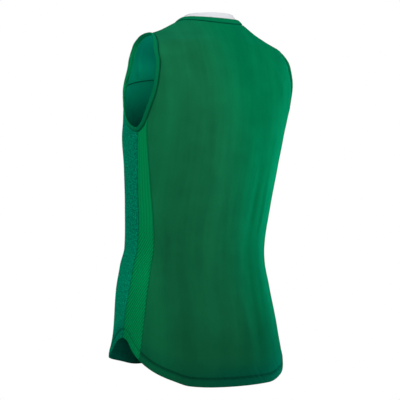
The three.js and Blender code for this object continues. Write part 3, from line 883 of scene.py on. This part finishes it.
YOKE_MIDDLE = -93              # height of the seam across the upper front
YOKE_DIP = 21                  # how much lower it meets the armholes
YOKE_ALLOWANCE = 1.0
yoke_corner = ARMHOLE[YOKE_MEETS][0]
share = np.linspace(0, 1, 120)
yoke_seam = places(yoke_corner + (-180 - 2 * yoke_corner) * share,
                   YOKE_MIDDLE - YOKE_DIP * np.abs(2 * share - 1) ** 1.6)
front = cloth_panel("textured_front", front_right, front_left, yoke_seam[::-1],
                    hem_line(-180 - NOTCH_ANGLE, NOTCH_ANGLE),
                    columns=190, rows=240, creases=FRONT_CREASES, even=0.8)
wear(front, textured_knit_material)
line_with(front, knit_reverse_material)
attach(front, "root")
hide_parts("front_panel")

front_hem = hem_stitching("front_hem_stitching", "textured_front")
front_edges = joined("front_overlocked_edges", [
    seam_allowance(yoke_seam, YOKE_ALLOWANCE), seam_allowance(front_seam(False)),
    seam_allowance(round_front(front_seam(True)))])
wear(front_hem, sewing_material)
wear(front_edges, sewing_material)
for piece in (front_hem, front_edges):
    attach(piece, "root")


# ---- Front yoke ----
# The upper front is cut from the same smooth knit as the back. Its shoulder seams
# join it to the back, and a curved seam across the chest joins it to the front.
YOKE_CREASES = (
    (319, -40, 297, -108, 3, 6, -2.6),
    (221, -40, 243, -108, -3, 6, -2.2),
    (334, -52, 328, -104, 4, 5, 1.0),
    (206, -54, 213, -106, -4, 5, 0.8),
)
yoke_left = np.vstack((shoulder_seam, armhole_stretch(YOKE_MEETS, SHOULDER)[::-1][1:]))
yoke = cloth_panel("smooth_yoke", round_front(yoke_left), yoke_left,
                   neck_line(np.linspace(-180, 0, 90)), yoke_seam[::-1],
                   columns=150, rows=60, creases=YOKE_CREASES, hemmed=False)
wear(yoke, smooth_knit_material)
line_with(yoke, knit_reverse_material)
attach(yoke, "root")
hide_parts("front_yoke")


# ---- Armhole bindings ----
# A strip of rib knit is folded double over each armhole's edge and cover-stitched.
# It is stretched a little as it is sewn, so it stands in a smooth rounded rim.
BINDING_WIDTH = 7.5
BINDING_WALL = 2.4
STRIP_WALL = 0.8
BINDING_STANDS = ((-40, 45), (-85, 28), (-135, 10))    # height, degrees it stands off the cloth
FOLD_CELLS = 16                # across a strip that is folded double
LAYER_SHARE = 0.35             # of the strip in each of its layers, the rest is in the fold
FOOT_SHARE = 0.5               # how far the two layers stay apart at the sewn edge
CROWN = 0.25                   # how far each layer swells
RIPPLE_PITCH = 9


def join_ends():
    """Merges the two ends of the strip just laid round a seam, and turns its faces out."""
    bpy.ops.object.mode_set(mode="EDIT")
    bpy.ops.mesh.select_all(action="SELECT")
    bpy.ops.mesh.remove_doubles(threshold=0.00002)
    bpy.ops.mesh.normals_make_consistent(inside=False)
    bpy.ops.object.mode_set(mode="OBJECT")


def folded_band(name, seam, reach_way, out_way, width, wall, start, inset, cells, ripple):
    """A strip folded double along a closed seam. Reach is the way across it and out is
    the way off its outer face. The fold is a half round at its far edge."""
    cloth, order, s, t = flat_grid(name, cells, FOLD_CELLS)
    row, along = np.arange(len(seam)), s * (len(seam) - 1)
    foot = points_at(along, row, seam)
    reach, out = (unit(points_at(along, row, way)) for way in (reach_way, out_way))
    width = np.interp(along, row, np.broadcast_to(width, len(seam)))
    half = (wall - STRIP_WALL) / 2
    foot_half = half * FOOT_SHARE
    turn = np.pi * np.clip((t - LAYER_SHARE) / (1 - 2 * LAYER_SHARE), 0, 1)
    straight = np.minimum(t, 1 - t) / LAYER_SHARE
    far = start + (width - start - half) * np.clip(straight, 0, 1) + half * np.sin(turn)
    close = foot_half + (half - foot_half) * smooth(straight / 0.5)
    lift = close * np.cos(turn)
    crown = CROWN * np.sin(np.pi * np.clip(straight, 0, 1))
    length = lengths_along(foot, 1)
    waves = ripple * uneven(length, RIPPLE_PITCH) * np.clip(straight, 0, 1)
    lift = lift + (crown + waves) * np.sign(0.5 - t)
    points = foot + reach * far[..., None] + out * (lift - inset)[..., None]
    down = lengths_along(points, 0)
    lay(cloth, order, points, length, down)
    give(cloth, order, "to_seam", np.minimum(down, down[-1:] - down) * MM)
    join_ends()
    thicken(cloth, STRIP_WALL)
    return cloth


green_rib = Finish("green_rib_knit")
across, down = green_rib.lengths()
grain = green_rib.noise(green_rib.vector(across, down), 1200, 2)
ribs = across.wave(0.0018) * 0.5 + 0.5
colour = green_rib.mix(ribs * 0.4 + grain * 0.5, dyed(2, 96, 62), dyed(10, 144, 92))
# A painted highlight makes the front half of each binding brighter.
side_way, back_way, _ = green_rib.parts(green_rib.point())
ahead = side_way.size().between(0.08, 0.11) * (1 - back_way.between(-0.07, -0.02))
colour = green_rib.mix(ahead * 0.42, colour, dyed(4, 190, 118))
seam = green_rib.by_seam(0.0002, 0.0024)
colour = green_rib.mix(seam * 0.5, colour, SEAM_THREAD_AND_SHADOW)
green_rib_material = green_rib.cloth(
    colour, 0.6 + grain * 0.15, ribs + grain * 0.5, 0.0002, 0.35, TEAL_SHEEN)


flare_at, = curves_of(BINDING_STANDS)


def armhole_frame(far_side):
    """The armhole seam's points, the way across the binding and the way off its face."""
    line = armhole_line[:-1]
    if far_side:
        line = round_back(line)
    seam = body_point(*line.T)
    ahead = unit(np.roll(seam, -1, axis=0) - np.roll(seam, 1, axis=0))
    out = cloth_out_at(*line.T)
    inward = unit(np.cross(ahead, out))
    if np.sum(inward * (seam.mean(axis=0) - seam)) < 0:
        inward = -inward
    stand = np.radians(flare_at(line[:, 1]))[:, None]
    reach = inward * np.cos(stand) + out * np.sin(stand)
    face = out * np.cos(stand) - inward * np.sin(stand)
    seam = seam + inward * (BINDING_WALL - STRIP_WALL) / 2 * np.sin(stand)
    return [np.vstack((rows, rows[:1])) for rows in (seam, reach, face, -inward, out)]


TAPE_WALL = 0.6


def seam_tape(name, seam, rise, face, cloth_in, cloth_out, up, down, behind, cells):
    """A narrow tape laid over a closed seam on the inside, part on the band that stands
    from it and part on the cloth."""
    tape, order, s, t = flat_grid(name, cells, 12)
    row = np.arange(len(seam))
    seam, rise, face, cloth_in, cloth_out = (
        points_at(s[0] * (len(seam) - 1), row, rows)
        for rows in (seam, rise, face, cloth_in, cloth_out))
    way = up - (up + down) * t[..., None]
    on_band, below = smooth(way / 2 + 0.5), np.maximum(-way, 0)
    points = (seam + rise * np.maximum(way, 0) + cloth_in * below
              - face * behind * on_band - cloth_out * depth_inside(below) * (1 - on_band))
    lay(tape, order, points, lengths_along(points, 1), lengths_along(points, 0))
    give(tape, order, "to_seam", 0.01)
    join_ends()
    thicken(tape, TAPE_WALL)
    return tape


COVER_PITCH = 1.5              # between turns of the cover-stitch
COVER_START, COVER_WIDTH = 0.6, 1.5
COVER_LIFT, COVER_STEP = 0.42, 0.14    # of the binding's wall, and more at the inner turns


def cover_stitching(name, seam, inward, out):
    """The zigzag that covers a binding's seam, on its outer face."""
    length = lengths_along(seam, 0)
    count = 2 * int(length[-1] / COVER_PITCH / 2)
    at = np.arange(count) * length[-1] / count
    foot, reach, off = (points_at(at, length, rows) for rows in (seam, inward, out))
    turned = (np.arange(count) % 2)[:, None]
    lift = BINDING_WALL * COVER_LIFT + COVER_STEP * turned
    zigzag = foot + reach * (COVER_START + COVER_WIDTH * turned) + unit(off) * lift
    return thread(name, [zigzag], closed=True)


for side, far_side in (("left", False), ("right", True)):
    seam_points, reach, face, cloth_in, cloth_out = armhole_frame(far_side)
    binding = folded_band(f"rib_binding_{side}", seam_points, reach, face, BINDING_WIDTH,
                          BINDING_WALL, start=SEAM_GAP / 2, inset=0, cells=320, ripple=0.12)
    wear(binding, green_rib_material)
    zigzag = cover_stitching(f"binding_stitching_{side}", seam_points, reach, face)
    tape = seam_tape(f"binding_tape_{side}", seam_points, reach, face, cloth_in, cloth_out,
                     up=1.6, down=2.4, behind=BINDING_WALL / 2 + TAPE_WALL / 2, cells=300)
    for piece, finish in ((zigzag, sewing_material), (tape, green_rib_material)):
        wear(piece, finish)
        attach(piece, "root")
    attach(binding, "root")
    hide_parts(f"armhole_binding_{side}")


# ---- Neckband ----
# A band of the same rib, folded double and sewn to the neck edge, stands up from its
# seam and leans in. A narrow tape covers the seam on the inside.
NECK_STANDS = (                # minus one in front, one behind: lean, and the white's stand
    (-1, 36, 12), (0, 50, 13), (0.6, 44, 14), (1, 27, 14),
)
BAND_WIDTH = 10
BAND_WALL = 1.8
lean_at, stand_at = curves_of(NECK_STANDS)

turns = np.linspace(0, 360, 181)
neck_places = neck_line(np.where(turns > 180, turns - 360, turns))
neck_points = body_point(*neck_places.T)
neck_points[-1] = neck_points[0]
ahead = np.roll(neck_points[:-1], -1, axis=0) - np.roll(neck_points[:-1], 1, axis=0)
ahead = np.vstack((ahead, ahead[:1]))
flat_out = unit(np.stack((ahead[:, 1], -ahead[:, 0], 0 * ahead[:, 0]), -1))
behind = np.sin(np.radians(turns))
lean = np.radians(lean_at(behind))[:, None]
upright = np.array([0, 0, 1.0])
neck_rise = upright * np.cos(lean) - flat_out * np.sin(lean)
neck_face = flat_out * np.cos(lean) + upright * np.sin(lean)

neckband = folded_band("rib_neckband", neck_points, neck_rise, neck_face,
                       BAND_WIDTH + SEAM_GAP + WALL / 2, BAND_WALL,
                       start=SEAM_GAP + WALL / 2, inset=0, cells=300, ripple=0.08)
wear(neckband, green_rib_material)
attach(neckband, "root")
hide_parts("neckband")

cloth_out = cloth_out_at(*neck_places.T)
cloth_in = unit(np.cross(cloth_out, ahead))
cloth_in *= np.where(np.sum(cloth_in * neck_rise, -1) > 0, -1, 1)[:, None]
tape = seam_tape("neck_tape", neck_points, neck_rise, neck_face, cloth_in, cloth_out,
                 up=4.0, down=5.0, behind=1.3, cells=240)
wear(tape, green_rib_material)
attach(tape, "root")


# ---- White neck band ----
# A second band of rib, white and folded double too, is sewn inside the green one and
# shows above it all round.
INSERT_WALL = 1.6
INSERT_START = 5
white_rib = Finish("white_rib_knit")
across, down = white_rib.lengths()
grain = white_rib.noise(white_rib.vector(across, down), 1200, 2)
ribs = across.wave(0.0018) * 0.5 + 0.5
colour = white_rib.mix(ribs * 0.4 + grain * 0.5, dyed(236, 234, 243), dyed(253, 252, 255))
white_rib_material = white_rib.cloth(
    colour, 0.7 + grain * 0.15, ribs + grain * 0.5, 0.0002, 0.2, (1, 1, 1, 1))

insert = folded_band("white_neck_insert", neck_points, neck_rise, neck_face,
                     BAND_WIDTH + stand_at(behind), INSERT_WALL, start=INSERT_START,
                     inset=BAND_WALL / 2 + 2 * SEAM_GAP + INSERT_WALL / 2,
                     cells=300, ripple=0.06)
wear(insert, white_rib_material)
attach(insert, "root")
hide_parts("neck_insert")


# ---- Studio ----
# The shirt is held up over a round pale floor. Six soft boxes light it: three from the
# camera's right, of which one skims its edge and one is low behind, two from the left
# and one overhead. A small lamp inside stands for light thrown back within the cloth.
FLOOR_HEIGHT = -1.3
FLOOR_RADIUS = 3.4
bpy.ops.object.select_all(action="DESELECT")
bpy.ops.mesh.primitive_circle_add(vertices=96, radius=FLOOR_RADIUS, fill_type="NGON",
                                  location=(0, 0, FLOOR_HEIGHT))
floor = bpy.context.object
floor.name = "studio_floor"
bpy.ops.object.transform_apply(location=True, rotation=True, scale=True)
paper = Finish("pale_floor_paper")
matte = paper.node("ShaderNodeBsdfPrincipled", {}, {"Base Color": (0.9, 0.9, 0.91, 1),
                                                    "Roughness": 0.9})
glow = paper.node("ShaderNodeEmission", {}, {"Color": (1, 1, 1, 1), "Strength": 0.95})
seen = paper.node("ShaderNodeLightPath")
surface = paper.node("ShaderNodeMixShader", {}, {0: seen * 0.75, 1: matte, 2: glow})
paper.node("ShaderNodeOutputMaterial", {}, {"Surface": surface})
wear(floor, paper.material)

air = Finish("studio_air", "worlds")
lit = air.node("ShaderNodeBackground", {}, {"Color": (1.0, 0.97, 0.86, 1), "Strength": 0.2})
white = air.node("ShaderNodeBackground", {}, {"Color": (1, 1, 1, 1), "Strength": 1.0})
seen = air.node("ShaderNodeLightPath")
surface = air.node("ShaderNodeMixShader", {}, {0: seen, 1: lit, 2: white})
air.node("ShaderNodeOutputWorld", {}, {"Surface": surface})
bpy.context.scene.world = air.material

# Degrees round from the camera, plus to its right, distance, height, the height each
# points at, width, length, power and colour.
LAMPS = {
    "right": (42, 1.4, 0.3, -0.12, 0.8, 1.0, 12.3, (0.93, 0.99, 1.0)),
    "edge": (100, 1.5, 0.0, -0.25, 0.8, 1.0, 3.2, (0.90, 0.99, 1.0)),
    "rim": (132, 1.2, -0.75, -0.48, 0.4, 0.4, 13.0, (0.88, 0.98, 1.0)),
    "left": (-78, 1.2, 0.8, -0.12, 0.7, 0.8, 8.5, (0.94, 0.98, 1.0)),
    "fill": (-28, 1.6, 0.45, -0.12, 0.8, 0.8, 3.5, (0.94, 0.99, 1.0)),
    "top": (10, 0.7, 1.2, -0.12, 1.0, 1.0, 1.2, (0.96, 0.99, 1.0)),
}


def soft_box(name, place, turned, width, length, power, colour):
    """A lamp with a flat, even face that the camera doesn't see."""
    bpy.ops.object.light_add(type="AREA", location=place, rotation=turned)
    lamp = bpy.context.object
    lamp.name = f"{name}_light"
    lamp.data.shape = "RECTANGLE"
    lamp.data.size, lamp.data.size_y = width, length
    lamp.data.energy = power
    lamp.data.color = colour
    lamp.visible_camera = False


for name, (turn, distance, height, aim, *box) in LAMPS.items():
    turn = CAMERA_TURN + math.radians(turn)
    soft_box(name, (distance * math.sin(turn), -distance * math.cos(turn), height),
             (math.atan2(distance, height - aim), 0, turn), *box)

# The small lamp inside faces the upper front.
soft_box("inner", (0.06, 0.02, -0.08), (math.radians(88), 0, math.radians(208)),
         0.05, 0.05, 0.065, (0.8, 1.0, 1.0))

bpy.context.scene.view_settings.view_transform = "Standard"
